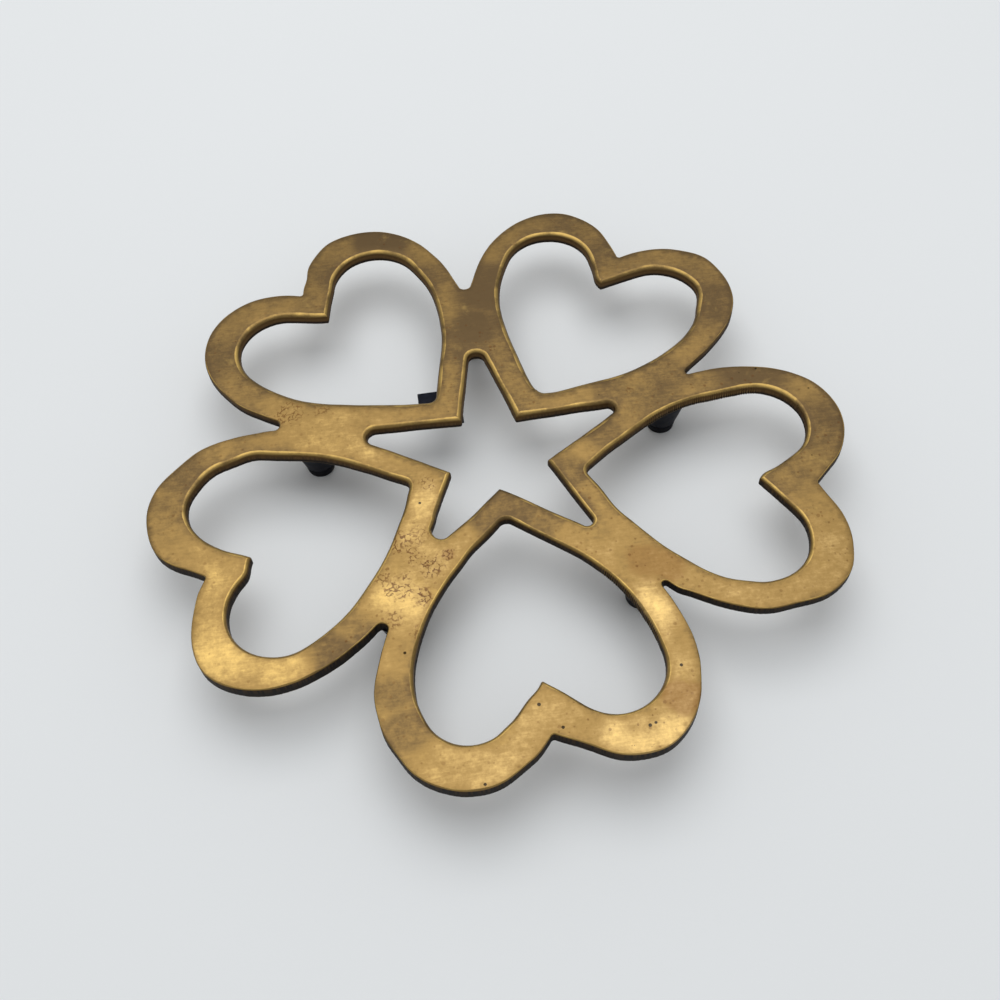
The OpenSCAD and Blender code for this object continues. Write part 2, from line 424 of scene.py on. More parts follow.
def walk_outline(outline, cfg, rim, random):
    """Points along an outline with rounded corners, each with its way into the metal."""
    lines = smooth_lines(outline, rim)
    ways = [headings(line) for line in lines]
    # The turn at the end of each line, and the radius there
    turns = np.array([turn_between(way[-1], after[0])
                      for way, after in zip(ways, ways[1:] + ways[:1])])
    hollow = cfg.corner_round if rim else cfg.tip_cut / np.maximum(0.1, np.tan(abs(turns) / 2))
    radii = np.where(turns < 0, hollow, cfg.corner_round)
    points, inwards = [], []
    for end, (line, way) in enumerate(zip(lines, ways)):
        start = end - 1
        along = lengths_along(line)
        cut_start, cut_end = (radii[c] * math.tan(abs(turns[c]) / 2) for c in (start, end))
        s = stations(along[-1] - cut_start - cut_end, cfg.step, random)
        at = s + cut_start
        place = np.stack([np.interp(at, along, line[:, k]) for k in (0, 1)], axis=1)
        heading = unit(np.stack([np.interp(at, along, way[:, k]) for k in (0, 1)], axis=1))
        points.append(place)
        inwards.append(left_of(heading))
        # The rounded corner at this stretch's end, as an arc between the two tangent points
        radius = radii[end]
        pieces = max(4, round(abs(turns[end]) * radius / (CORNER_STEP * cfg.step)))
        angles = turns[end] * np.arange(1, pieces) / pieces
        first = left_of(heading[-1])
        spin = np.stack([np.cos(angles) * first[0] - np.sin(angles) * first[1],
                         np.sin(angles) * first[0] + np.cos(angles) * first[1]], axis=1)
        side = math.copysign(radius, turns[end])
        points.append(place[-1] + side * first - side * spin)
        inwards.append(spin)
    return np.vstack(points), np.vstack(inwards)


def fall(inset, radius):
    """How far a round edge lies below its face, at a distance in from the wall."""
    return radius - np.sqrt(np.maximum(0, radius**2 - np.maximum(0, radius - inset) ** 2))


def is_rim(outline):
    """Only the plate's outer outline runs counter-clockwise."""
    following = np.roll(outline, -1, axis=0)
    return (outline[:, 0] * following[:, 1] - outline[:, 1] * following[:, 0]).sum() > 0


def add_edge_rings(mesh, outline, cfg, random):
    """Adds the rounded edge and the filed wall along one outline."""
    wall_layer, file_layer, rim_layer = (mesh.verts.layers.float[n] for n in PLATE_LAYERS)
    height = PLATE_HIGH.z - PLATE_LOW.z
    rim = is_rim(outline)
    place, inward = walk_outline(outline, cfg, rim, random)
    reach = reach_inwards(place, inward)
    count = len(place)
    uneven = np.array([noise.noise(Vector((x, y, 0)) / EDGE_WAVE) for x, y in place])
    if rim:
        radius = cfg.rim_round * (1 + 0.4 * uneven)
    else:
        radius = cfg.opening_round * (0.85 + 0.35 * ease(place[:, 1], FRONT, BACK) + 0.3 * uneven)
    comb = (0 if rim else 1) * chatter(place)
    teeth = (np.arange(count) % 2) * comb
    marks = random.uniform(0, 1, count) ** 1.5
    # Grooves carry a mark up to 1, and the ridges between a chatter's grooves one down to -1
    shown = np.where(comb > 0, teeth - (comb - teeth), marks)
    # Each ring: how far in from the wall, its part of the edge, and its value of "wall"
    rings = [(radius * (1 - math.sin(a)), "top", a / math.radians(90))
             for a in np.radians(TOP_ANGLES)]
    rings.append((np.zeros(count), "wall", WALL_FOOT))
    rings += [(cfg.bottom_round * (1 - math.cos(a)), "bottom", UNDERSIDE)
              for a in np.radians(BOTTOM_ANGLES)]
    rows = []
    for inset, level, wall in rings:
        in_by = np.minimum(inset, reach - cfg.inset)
        if level == "top":
            depth = fall(in_by, radius)
        elif level == "bottom":
            depth = height - fall(in_by, cfg.bottom_round)
        else:
            depth = np.full(count, height - cfg.bottom_round)
        filed = marks * cfg.file_depth * min(1, max(0, (wall - 0.6) / 0.4))
        filed = filed + teeth * cfg.teeth_depth * min(1, max(0, (wall - 0.15) / 0.5))
        plan = place + inward * np.minimum(cfg.inset + in_by + filed, reach)[:, None]
        row = []
        for (x, y), down, mark in zip(plan, depth, shown):
            vert = mesh.verts.new((x, y, PLATE_HIGH.z - down))
            vert[wall_layer] = wall
            vert[file_layer] = mark
            vert[rim_layer] = 1.0
            row.append(vert)
        rows.append(row)
    for upper, lower in zip(rows, rows[1:]):
        for i in range(count):
            j = (i + 1) % count
            mesh.faces.new((upper[i], lower[i], lower[j], upper[j]))


def inside(points, ends_a, ends_b):
    """Which plan points lie within the closed outlines made of these edges."""
    result = np.zeros(len(points), bool)
    for start in range(0, len(points), AT_ONCE):
        x, y = points[start:start + AT_ONCE].T[:, :, None]
        ax, ay, bx, by = *ends_a.T, *ends_b.T
        crosses = (ay > y) != (by > y)
        rise = np.where(by == ay, 1, by - ay)
        left = x < (bx - ax) * (y - ay) / rise + ax
        result[start:start + AT_ONCE] = (crosses & left).sum(1) % 2 == 1
    return result


def fill_face(mesh, upwards, spacing):
    """Closes the plate's open top or underside with a net that can carry a soft swell."""
    wall_layer = mesh.verts.layers.float[PLATE_LAYERS[0]]
    middle = (PLATE_LOW.z + PLATE_HIGH.z) / 2
    level = PLATE_HIGH.z if upwards else PLATE_LOW.z
    edges = [e for e in mesh.edges if e.is_boundary and (e.verts[0].co.z > middle) == upwards]
    verts = list(dict.fromkeys(v for e in edges for v in e.verts))
    number = {v: i for i, v in enumerate(verts)}
    plan = np.array([v.co[:2] for v in verts])
    pairs = [(number[e.verts[0]], number[e.verts[1]]) for e in edges]
    ends_a, ends_b = (plan[[p[k] for p in pairs]] for k in (0, 1))
    xs = np.arange(PLATE_LOW.x, PLATE_HIGH.x, spacing)
    ys = np.arange(PLATE_LOW.y, PLATE_HIGH.y, spacing)
    net = np.array([(x + 0.5 * spacing * (j % 2), y) for j, y in enumerate(ys) for x in xs])
    net = net[inside(net, ends_a, ends_b)]
    clear = np.array([np.min(np.sum((plan - p) ** 2, axis=1)) for p in net]) > (0.5 * spacing) ** 2
    net = net[clear]
    points = [Vector(p) for p in np.vstack([plan, net])]
    coords, _, faces, origins, _, _ = geometry.delaunay_2d_cdt(
        points, pairs, [], 0, NET_NEAR, True)
    made = []
    for co, origin in zip(coords, origins):
        known = [k for k in origin if k < len(verts)]
        if known:
            made.append(verts[known[0]])
        else:
            vert = mesh.verts.new((co.x, co.y, level))
            vert[wall_layer] = 0.0 if upwards else UNDERSIDE
            made.append(vert)
    centres = np.array([np.mean([coords[i] for i in f], axis=0) for f in faces])
    for face, keep in zip(faces, inside(centres, ends_a, ends_b)):
        if keep:
            mesh.faces.new([made[i] for i in (face if upwards else face[::-1])])


def drift(point, size, seed):
    """A smooth random push, the same for every point in one place."""
    return noise.noise_vector(Vector((point[0], point[1], seed * size)) / size)


class TRIVET_OT_plate(bpy.types.Operator):
    """Builds the cast plate with its polished top, round edges and filed walls"""

    bl_idname = "trivet.plate"
    bl_label = "Plate"

    def execute(self, context):
        cfg = context.scene.trivet_plate
        random = np.random.default_rng(SEED)
        noise.seed_set(SEED)
        mesh = bmesh.new()
        for name in PLATE_LAYERS:
            mesh.verts.layers.float.new(name)
        for outline in top_outlines(PLATE):
            add_edge_rings(mesh, outline, cfg, random)
        bmesh.ops.remove_doubles(mesh, verts=mesh.verts, dist=MERGE)
        bmesh.ops.dissolve_degenerate(mesh, edges=mesh.edges, dist=0.1 * MERGE)
        fill_face(mesh, True, TOP_NET)
        fill_face(mesh, False, UNDER_NET)
        gaps = {tuple(round(c / MM, 1) for c in e.verts[0].co)
                for e in mesh.edges if not e.is_manifold}
        if gaps:
            raise RuntimeError(f"the plate's mesh is open at {sorted(gaps)[:20]} mm")
        for vert in mesh.verts:
            x, y, z = vert.co
            push = (cfg.wander * drift((x, y), WANDER_WAVES[0], 1)
                    + 0.7 * cfg.wander * drift((x, y), WANDER_WAVES[1], 2))
            vert.co.x += push.x
            vert.co.y += push.y
            up = (z - PLATE_LOW.z) / (PLATE_HIGH.z - PLATE_LOW.z)
            swell = (drift((x, y), SWELL_WAVES[0], 3).z
                     + 0.5 * drift((x, y), SWELL_WAVES[1], 4).z - 0.9)
            vert.co.z += max(0, up) * cfg.swell * min(0, swell)
            forward = THICK_WAY[0] * x + THICK_WAY[1] * y
            vert.co.z -= (1 - up) * cfg.front_extra * ease(forward, THICK_STARTS, THICK_FULL)
        data = bpy.data.meshes.new("brass_plate")
        mesh.to_mesh(data)
        mesh.free()
        plate = bpy.data.objects.new("brass_plate", data)
        context.collection.objects.link(plate)
        make_active(plate)
        finish_piece(plate, "brass_plate", PLATE, brass_material(context), 70.0)
        return {"FINISHED"}


# Sides of the turned pieces, and steps around their edges
TURNED_SIDES, EDGE_STEPS = 64, 5


def select_where(piece, test):
    """Selects the faces that pass a test, in edit mode."""
    bpy.ops.mesh.select_mode(type="FACE")
    mesh = bmesh.from_edit_mesh(piece.data)
    for face in mesh.faces:
        face.select_set(test(face))
    bmesh.update_edit_mesh(piece.data)


def faces_down(face):
    return face.normal.z < -LEVEL


def turned_cone(middle, low, high, low_radius, high_radius, edge):
    """A turned piece that widens upwards, with a rounded lower edge and an inset lower face."""
    deselect_all()
    bpy.ops.mesh.primitive_cone_add(
        vertices=TURNED_SIDES, radius1=low_radius, radius2=high_radius, depth=high - low,
        location=(middle.x, middle.y, (low + high) / 2))
    piece = bpy.context.object
    bpy.ops.object.mode_set(mode="EDIT")
    select_where(piece, faces_down)
    bpy.ops.mesh.bevel(offset=edge, segments=EDGE_STEPS, affect="EDGES", profile=0.5)
    select_where(piece, faces_down)
    bpy.ops.mesh.inset(thickness=0.3 * low_radius)
    bpy.ops.object.mode_set(mode="OBJECT")
    return piece


def copies_at(piece, shifts):
    """Copies of a piece, each with its own mesh, moved by these amounts."""
    made = []
    for shift in shifts:
        make_active(piece)
        bpy.ops.object.duplicate(linked=False)
        bpy.ops.transform.translate(value=shift)
        made.append(bpy.context.object)
    return made


def shift_between(node, other):
    low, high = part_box(node)
    other_low, other_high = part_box(other)
    return (other_low + other_high - low - high) / 2


class TRIVET_OT_feet(bpy.types.Operator):
    """Turns one tapered foot and copies it to the other four places"""

    bl_idname = "trivet.feet"
    bl_label = "Feet"

    def execute(self, context):
        cfg = context.scene.trivet_feet
        low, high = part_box(FEET[0])
        tip_low, tip_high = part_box(TIPS[0])
        foot = turned_cone((low + high) / 2, low.z, PLATE_LOW.z, (tip_high.x - tip_low.x) / 2,
                           (high.x - low.x) / 2, cfg.foot_edge)
        feet = [foot] + copies_at(foot, [shift_between(FEET[0], n) for n in FEET[1:]])
        material = foot_material(context)
        for piece, node in zip(feet, FEET):
            finish_piece(piece, node + "_turned", node, material)
        return {"FINISHED"}


class TRIVET_OT_tips(bpy.types.Operator):
    """Moulds one soft tip and copies it under the other four feet"""

    bl_idname = "trivet.tips"
    bl_label = "Tips"

    def execute(self, context):
        cfg = context.scene.trivet_feet
        low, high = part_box(TIPS[0])
        foot_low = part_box(FEET[0])[0]
        radius = (high.x - low.x) / 2
        tip = turned_cone((low + high) / 2, low.z, foot_low.z, radius * cfg.tip_taper, radius,
                          cfg.tip_edge)
        tips = [tip] + copies_at(tip, [shift_between(TIPS[0], n) for n in TIPS[1:]])
        material = rubber_material(context)
        for piece, node in zip(tips, TIPS):
            finish_piece(piece, node + "_moulded", node, material)
        return {"FINISHED"}


class TRIVET_OT_plaque(bpy.types.Operator):
    """Cuts the bare plaque under the back left heart's tip"""

    bl_idname = "trivet.plaque"
    bl_label = "Plaque"

    def execute(self, context):
        cfg = context.scene.trivet_feet
        low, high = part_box(PLAQUE)
        deselect_all()
        bpy.ops.mesh.primitive_cube_add(size=1, location=(low + high) / 2)
        plaque = context.object
        plaque.dimensions = high - low
        bpy.ops.object.transform_apply(location=False, rotation=False, scale=True)
        bpy.ops.object.mode_set(mode="EDIT")
        bpy.ops.mesh.select_all(action="SELECT")
        bpy.ops.mesh.bevel(offset=cfg.plaque_edge, segments=4, affect="EDGES", profile=0.5)
        select_where(plaque, faces_down)
        bpy.ops.mesh.inset(thickness=4 * cfg.plaque_edge)
        bpy.ops.transform.translate(value=(0, 0, 0.5 * cfg.plaque_edge))
        bpy.ops.object.mode_set(mode="OBJECT")
        finish_piece(plaque, "bare_plaque", PLAQUE, plaque_material(context))
        return {"FINISHED"}


# Materials


def new_material(name):
    """A material with nothing but its shader, its node tree and the shader."""
    material = bpy.data.materials.new(name)
    material.use_nodes = True
    tree = material.node_tree
    tree.nodes.clear()
    output = tree.nodes.new("ShaderNodeOutputMaterial")
    shader = tree.nodes.new("ShaderNodeBsdfPrincipled")
    tree.links.new(shader.outputs["BSDF"], output.inputs["Surface"])
    return material, tree, shader


def join(tree, source, target):
    """Links an output, or sets a plain value."""
    if isinstance(source, bpy.types.NodeSocket):
        tree.links.new(source, target)
    elif not target.enabled:
        return
    elif target.type == "RGBA" and len(source) == 3:
        target.default_value = (*source, 1)
    else:
        target.default_value = source


def math_node(tree, operation, a, b):
    node = tree.nodes.new("ShaderNodeMath")
    node.operation = operation
    join(tree, a, node.inputs[0])
    join(tree, b, node.inputs[1])
    return node.outputs[0]


def times(tree, a, b):
    return math_node(tree, "MULTIPLY", a, b)


def larger(tree, a, b):
    return math_node(tree, "MAXIMUM", a, b)


def centred(tree, value, amount):
    """A noise value made to swing this far both ways about zero."""
    return times(tree, math_node(tree, "SUBTRACT", value, 0.5), 2 * amount)


def total(tree, *values):
    result = values[0]
    for value in values[1:]:
        result = math_node(tree, "ADD", result, value)
    return result


def vector_node(tree, operation, a, b=(0, 0, 0), c=(0, 0, 0)):
    node = tree.nodes.new("ShaderNodeVectorMath")
    node.operation = operation
    for value, socket in zip((a, b, c), node.inputs):
        join(tree, value, socket)
    return node.outputs["Value" if operation == "DISTANCE" else "Vector"]


def ramp(tree, value, low, high, start=0.0, end=1.0):
    """A smooth step from start to end as the value goes from low to high."""
    node = tree.nodes.new("ShaderNodeMapRange")
    node.interpolation_type = "SMOOTHSTEP"
    join(tree, value, node.inputs["Value"])
    numbers = {"From Min": low, "From Max": high, "To Min": start, "To Max": end}
    for socket, number in numbers.items():
        join(tree, number, node.inputs[socket])
    return node.outputs["Result"]


def blend_colour(tree, share, a, b):
    node = tree.nodes.new("ShaderNodeMix")
    node.data_type = "RGBA"
    join(tree, share, node.inputs[0])
    join(tree, a, node.inputs[6])
    join(tree, b, node.inputs[7])
    return node.outputs[2]


def mapped(tree, scale=(1, 1, 1), turn=0.0):
    """Object coordinates through a Mapping node."""
    coordinates = tree.nodes.new("ShaderNodeTexCoord")
    mapping = tree.nodes.new("ShaderNodeMapping")
    mapping.inputs["Rotation"].default_value = (0, 0, turn)
    mapping.inputs["Scale"].default_value = scale
    tree.links.new(coordinates.outputs["Object"], mapping.inputs["Vector"])
    return mapping.outputs["Vector"]


def texture_node(tree, kind, vector, size):
    """A texture whose cells or blotches are about this size, in metres."""
    node = tree.nodes.new(kind)
    join(tree, vector, node.inputs["Vector"])
    scale = 1 / size if isinstance(size, float) else math_node(tree, "DIVIDE", 1.0, size)
    join(tree, scale, node.inputs["Scale"])
    return node


def noise_node(tree, vector, size, detail=3.0, roughness=0.55, distortion=0.0):
    node = texture_node(tree, "ShaderNodeTexNoise", vector, size)
    node.inputs["Detail"].default_value = detail
    node.inputs["Roughness"].default_value = roughness
    node.inputs["Distortion"].default_value = distortion
    return node.outputs["Fac"]


def attribute(tree, name):
    node = tree.nodes.new("ShaderNodeAttribute")
    node.attribute_name = name
    return node.outputs["Fac"]


def bump(tree, height, distance, normal=None):
    node = tree.nodes.new("ShaderNodeBump")
    node.inputs["Strength"].default_value = 1.0
    node.inputs["Distance"].default_value = distance
    join(tree, height, node.inputs["Height"])
    if normal is not None:
        join(tree, normal, node.inputs["Normal"])
    return node.outputs["Normal"]


def node_group(name, inputs, outputs):
    """A shader node group with its sockets, or None with the group if it is there already."""
    if name in bpy.data.node_groups:
        return bpy.data.node_groups[name], None, None
    group = bpy.data.node_groups.new(name, "ShaderNodeTree")
    for label, kind, value in inputs:
        socket = group.interface.new_socket(name=label, in_out="INPUT", socket_type=kind)
        socket.default_value = value
    for label, kind in outputs:
        group.interface.new_socket(name=label, in_out="OUTPUT", socket_type=kind)
    return group, group.nodes.new("NodeGroupInput"), group.nodes.new("NodeGroupOutput")


def place_group(tree, group, **values):
    node = tree.nodes.new("ShaderNodeGroup")
    node.node_tree = group
    for label, value in values.items():
        join(tree, value, node.inputs[label.replace("_", " ").capitalize()])
    return node


def patch_group():
    """A soft round mark: 1 in its middle, 0 outside, its rim pushed about by a ragged value."""
    group, given, result = node_group(
        "Patch",
        [("Vector", "NodeSocketVector", (0, 0, 0)), ("Middle", "NodeSocketVector", (0, 0, 0)),
         ("Radius", "NodeSocketFloat", 5 * MM), ("Rag", "NodeSocketFloat", 0.0),
         ("Softness", "NodeSocketFloat", 0.3)],
        [("Mask", "NodeSocketFloat")])
    if given is None:
        return group
    flat = vector_node(group, "MULTIPLY", given.outputs["Vector"], (1, 1, 0))
    away = vector_node(group, "DISTANCE", flat, given.outputs["Middle"])
    share = math_node(group, "DIVIDE", away, given.outputs["Radius"])
    edge = math_node(group, "ADD", share, given.outputs["Rag"])
    inner = math_node(group, "SUBTRACT", 1.0, given.outputs["Softness"])
    outer = math_node(group, "ADD", 1.0, given.outputs["Softness"])
    join(group, ramp(group, edge, inner, outer, 1.0, 0.0), result.inputs["Mask"])
    return group


def speck_group():
    """Small scattered pits: a mask of round specks with their own sizes."""
    group, given, result = node_group(
        "Specks",
        [("Vector", "NodeSocketVector", (0, 0, 0)), ("Spacing", "NodeSocketFloat", 4 * MM),
         ("Size", "NodeSocketFloat", 0.15)],
        [("Mask", "NodeSocketFloat")])
    if given is None:
        return group
    cells = texture_node(
        group, "ShaderNodeTexVoronoi", given.outputs["Vector"], given.outputs["Spacing"])
    parts = group.nodes.new("ShaderNodeSeparateColor")
    join(group, cells.outputs["Color"], parts.inputs["Color"])
    own = times(group, parts.outputs[0], parts.outputs[1])
    size = times(group, own, given.outputs["Size"])
    inner = math_node(group, "SUBTRACT", size, cells.outputs["Distance"])
    join(group, ramp(group, inner, -0.02, 0.05), result.inputs["Mask"])
    return group


def crack_group():
    """Fine crooked cracks: 1 on a crack, 0 between them."""
    group, given, result = node_group(
        "Cracks",
        [("Vector", "NodeSocketVector", (0, 0, 0)), ("Spacing", "NodeSocketFloat", 1.5 * MM),
         ("Width", "NodeSocketFloat", 0.12)],
        [("Mask", "NodeSocketFloat")])
    if given is None:
        return group
    bends = math_node(group, "DIVIDE", given.outputs["Spacing"], 1.5)
    bent = texture_node(group, "ShaderNodeTexNoise", given.outputs["Vector"], bends)
    pushed = vector_node(group, "MULTIPLY_ADD", bent.outputs["Color"], (1.2 * MM, 1.2 * MM, 0),
                         given.outputs["Vector"])
    cells = texture_node(group, "ShaderNodeTexVoronoi", pushed, given.outputs["Spacing"])
    cells.feature = "DISTANCE_TO_EDGE"
    share = math_node(group, "DIVIDE", cells.outputs["Distance"], given.outputs["Width"])
    # Only some cracks are open
    open_part = ramp(group, bent.outputs["Fac"], 0.42, 0.58)
    line = ramp(group, share, 0.3, 1.0, 1.0, 0.0)
    join(group, times(group, line, open_part), result.inputs["Mask"])
    return group


def grain_group():
    """Fine cast or moulded grain, as a height for a bump."""
    group, given, result = node_group(
        "Fine grain",
        [("Vector", "NodeSocketVector", (0, 0, 0)), ("Size", "NodeSocketFloat", 0.6 * MM)],
        [("Height", "NodeSocketFloat")])
    if given is None:
        return group
    fine = texture_node(
        group, "ShaderNodeTexNoise", given.outputs["Vector"], given.outputs["Size"])
    fine.inputs["Detail"].default_value = 2.0
    join(group, fine.outputs["Fac"], result.inputs["Height"])
    return group


# Marks on the plate's top face: place in mm, radius in mm, strength

# Darker, browner patches
TARNISH = (
    ((-6.5, -22.5), 4.5, 0.7), ((-1.5, -19.5), 5.5, 0.8), ((4.5, -21.5), 5, 0.6),
    ((-1, -14.5), 5, 0.7), ((11, -25.5), 5, 0.5), ((-38, -72), 6, 0.7), ((-36, -83), 7, 0.75),
    ((-1, 52), 9, 0.6), ((-5, 41), 6, 0.3), ((-27, 97), 9, 1.0), ((-12, 77), 6, 0.4),
    ((4, 67), 9, 0.6), ((80, 48), 9, 0.4), ((31, 91), 8, 0.3), ((40, 9), 4, 0.4),
    ((83, 20), 12, 0.6), ((98, -6), 11, 0.4), ((84, -22), 8, 0.3), ((-72, 40), 6, 0.3),
    ((-99, -6), 9, 0.4), ((-31, -61), 7, 0.4), ((-84, 56), 11, 0.25), ((7, 68), 10, 0.9),
    ((-53, -58), 7, 0.9), ((-95, 9), 8, 0.4), ((-46, 84), 6, 0.3), ((50, 77), 8, 0.3),
    ((44, -70), 6, 0.3), ((39, 19), 6, 0.5), ((58, 22), 6, 0.35), ((47, 20), 13, 0.4),
    ((33, 4), 6, 0.5), ((20, -10), 6, 0.6), ((21, -22), 5, 0.5), ((-46, -52), 6, 0.5))

# Bright places: partly rubbed brass, partly painted highlights where the lamp's sheen falls on the
# near hearts
RUBBED_AND_HIGHLIGHTS = (
    ((38, -78), 7, 0.3), ((22, -96), 8, 1.1), ((31, -94), 6, 1), ((-23, -14), 7, 0.6),
    ((-24, -32), 7, 0.6), ((-33, -43), 9, 1), ((-85, -52), 9, 0.45), ((-85, -30), 8, 0.35),
    ((-66, -62), 8, 0.4), ((-18, -100), 8, 0.2), ((-50, 18), 9, 0.8), ((-36, 12), 7, 0.6),
    ((-28, -22), 9, 0.5), ((32, -60), 8, 0.9), ((26, -97), 6, 0.5), ((-14, 62), 5, 0.7),
    ((-8, 92), 6, 0.3), ((-9, 57), 4.5, 0.5), ((46, 22), 4, 0.4), ((88, -47), 10, 0.3),
    ((-62, 28), 7, 0.4), ((-96, -8), 6, 0.4), ((20, -40), 6, 0.3), ((-9, -85), 6, 0.3))

# Crazed red-brown patches
CRAZED = (
    ((-32.5, -26), 3.6, 0.9), ((-29, -31), 3.2, 0.8), ((-24, -35), 3.6, 1),
    ((-27, -43.5), 3.6, 1), ((-33, -40), 4.2, 0.9), ((-38, -36), 3.2, 0.7),
    ((-18.6, -31.9), 2.2, 1), ((-36, -50), 2.8, 0.7), ((-22, -6), 2.6, 0.7),
    ((-62, 27), 4.0, 0.7), ((-52, 27), 2.4, 0.6), ((-30, -55), 2.2, 0.6), ((-26, -24), 3.0, 0.5),
    ((44, 18), 2.0, 0.5))

# Flat red-brown stains
STAINS = (
    ((37.6, -85), 5.2, 0.75), ((36, -42.5), 5.5, 0.55), ((42, -45.5), 5.0, 0.55),
    ((-18.6, -31.9), 1.9, 0.6))

# Single pits
PITS = (
    ((-34.1, -60.8), 0.4, 1), ((39.1, -76.2), 0.4, 1), ((27.3, -91.7), 0.45, 1),
    ((28.9, -91.2), 0.35, 1), ((4.8, -88.7), 0.4, 1), ((-0.4, -81.4), 0.45, 1),
    ((-17.4, -100.8), 0.4, 1), ((-25, -13), 0.35, 1))

# Where the top face darkens from front to back (partly deeper patina, partly painted shade for the
# far hearts' dimmer reflection), where the patina deepens towards the right, and where the sheen
# grows
FRONT_TO_BACK = -75 * MM, 60 * MM
RIGHT_PATINA = 30 * MM, 95 * MM
SHEEN_GROWS = -60 * MM, 0.0

# The sizes of the patina's blotches
BROAD, CLOUD, FINE = 32 * MM, 8 * MM, 1.4 * MM

# The brushing's size, its stretch across its own way, and its turn
BRUSH_SIZE, BRUSH_STRETCH, BRUSH_TURN = 5 * MM, (1, 7, 1), math.radians(35)

# The spacing of the cracks and the red specks in the crazed patches, and of the scattered pits
CRACK_SPACING, SPECK_SPACING, PIT_SPACING = 1.5 * MM, 1.3 * MM, 5 * MM

# The cast dents, the grain and the pits
DENT_SIZE, GRAIN_SIZE = 7 * MM, 0.45 * MM
DENT_DEPTH, GRAIN_DEPTH, PIT_DEPTH = 0.06 * MM, 0.007 * MM, 0.06 * MM


def marks_mask(tree, vector, rag, marks, softness=0.3):
    """The strongest of a list of marks at each place."""
    mask = 0.0
    for (x, y), radius, strength in marks:
        spot = place_group(tree, patch_group(), vector=vector, middle=(x * MM, y * MM, 0),
                           radius=radius * MM, rag=rag, softness=softness).outputs["Mask"]
        mask = larger(tree, mask, times(tree, spot, strength))
    return mask


def patina(tree, here, place, rim, blotches):
    """How dark the top face is at each place, 0 bright, 1 the deepest olive: mostly patina, with
    painted shade towards the back and along the edges and painted highlights among the bright
    patches.
    """
    broad, cloud, fine = blotches
    gentle = total(tree, centred(tree, broad, 0.5), centred(tree, cloud, 0.35))
    ragged = math_node(tree, "ADD", gentle, centred(tree, fine, 0.2))
    tarnish = marks_mask(tree, here, ragged, TARNISH, 0.4)
    # Bright patches: partly rubbed brass, partly painted highlights
    rubbed_and_highlights = marks_mask(tree, here, gentle, RUBBED_AND_HIGHLIGHTS, 0.75)
    brushed = noise_node(tree, mapped(tree, BRUSH_STRETCH, BRUSH_TURN), BRUSH_SIZE, 4.0, 0.6)
    # Darker towards the back: partly deeper patina, partly painted shade standing in for the
    # dimmer reflection on the far hearts
    back = ramp(tree, place.outputs["Y"], *FRONT_TO_BACK)
    right = ramp(tree, place.outputs["X"], *RIGHT_PATINA, 0.0, 0.05)
    # The rim term is painted shade: a thin darker band along every edge of the top face
    age_and_painted_light = total(tree, 0.46, times(tree, back, 0.24), right, centred(tree, broad, 0.26),
                centred(tree, cloud, 0.18), centred(tree, fine, 0.2), centred(tree, brushed, 0.14),
                times(tree, tarnish, 0.42), times(tree, rubbed_and_highlights, -0.3), times(tree, rim, 0.14))
    return age_and_painted_light, back


def blemishes(tree, here, blotches):
    """Masks of the flat stains, the crazed patches, the red spots and cracks, and the pits."""
    broad, cloud, fine = blotches
    rag = total(tree, centred(tree, cloud, 0.9), centred(tree, fine, 0.35))
    stains = marks_mask(tree, here, rag, STAINS)
    crazed = marks_mask(tree, here, rag, CRAZED)
    cracks = place_group(tree, crack_group(), vector=here, spacing=CRACK_SPACING, width=0.16)
    specks = place_group(tree, speck_group(), vector=here, spacing=SPECK_SPACING, size=0.45)
    crowded = ramp(tree, total(tree, broad, crazed), 0.42, 0.75, 0.4, 1.0)
    reds = larger(tree, times(tree, cracks.outputs["Mask"], crazed),
                  times(tree, times(tree, specks.outputs["Mask"], crowded), 0.5))
    scattered = place_group(tree, speck_group(), vector=here, spacing=PIT_SPACING, size=0.1)
    pits = larger(tree, scattered.outputs["Mask"],
                  marks_mask(tree, here, centred(tree, fine, 0.3), PITS))
    return stains, crazed, reds, pits


def wall_finish(tree, colours, wall, filed, back, blotches):
    """The walls' colour: dark oxide, bronze ridges between file marks, and a brown underside."""
    broad, cloud = blotches[:2]
    browned = total(tree, centred(tree, broad, 0.4), times(tree, back, 0.9),
                    centred(tree, cloud, 0.3))
    streak = larger(tree, ramp(tree, filed, 0.2, 0.7, 1.0, 0.05), back)
    ridge = times(tree, ramp(tree, browned, 0.1, 0.9, 0.3, 1.0), streak)
    ridge = times(tree, ridge, ramp(tree, wall, 1.05, 1.7, 1.0, 0.0))
    colour = blend_colour(tree, ridge, colours.oxide, colours.bronze)
    # The ridges between a chatter's grooves are bare brass
    bared = times(tree, ramp(tree, filed, -1.0, -0.1, 0.8, 0.0),
                  ramp(tree, wall, 1.1, WALL_FOOT, 1.0, 0.2))
    colour = blend_colour(tree, bared, colour, colours.worn)
    # The underside is left as it was cast
    cast = blend_colour(tree, ramp(tree, cloud, 0.3, 0.7), colours.bronze, colours.worn)
    return blend_colour(tree, ramp(tree, wall, WALL_FOOT + 0.05, UNDERSIDE), colour, cast)


